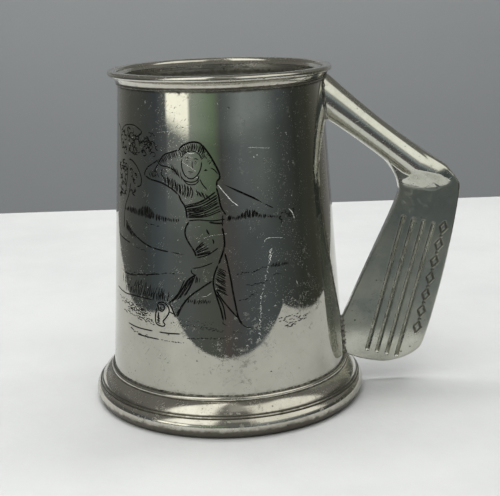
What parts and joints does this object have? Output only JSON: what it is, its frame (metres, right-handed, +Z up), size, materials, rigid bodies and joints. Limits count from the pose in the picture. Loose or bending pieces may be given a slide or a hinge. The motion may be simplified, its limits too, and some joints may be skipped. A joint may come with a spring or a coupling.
{
  "type": "tankard",
  "caption": "Tapered pewter pint tankard with a flared lip, a stepped foot and a soldered cast handle in the form of a golf iron.",
  "frame": {"origin": "centre of the foot's resting circle, on the axis of the barrel", "axes": "+Z up along the barrel's axis, +X out towards the handle, the handle's club face looking along -Y"},
  "size_m": [0.1405, 0.1036, 0.125],
  "materials": {
    "pewter_body": "old pewter, worn polish with fine scratches",
    "pewter_cast": "cast pewter, worn polish with small casting marks",
    "solder": "dull lumpy soft solder"
  },
  "bodies": {
    "root": {"barrel": "pewter_body", "lip_ring": "pewter_body", "foot_ring": "pewter_body", "bottom_plate": "pewter_body", "club_handle": "pewter_cast", "lip_solder": "solder", "foot_solder": "solder", "bottom_solder": "solder", "hosel_solder": "solder", "toe_solder": "solder"}
  },
  "joints": []
}
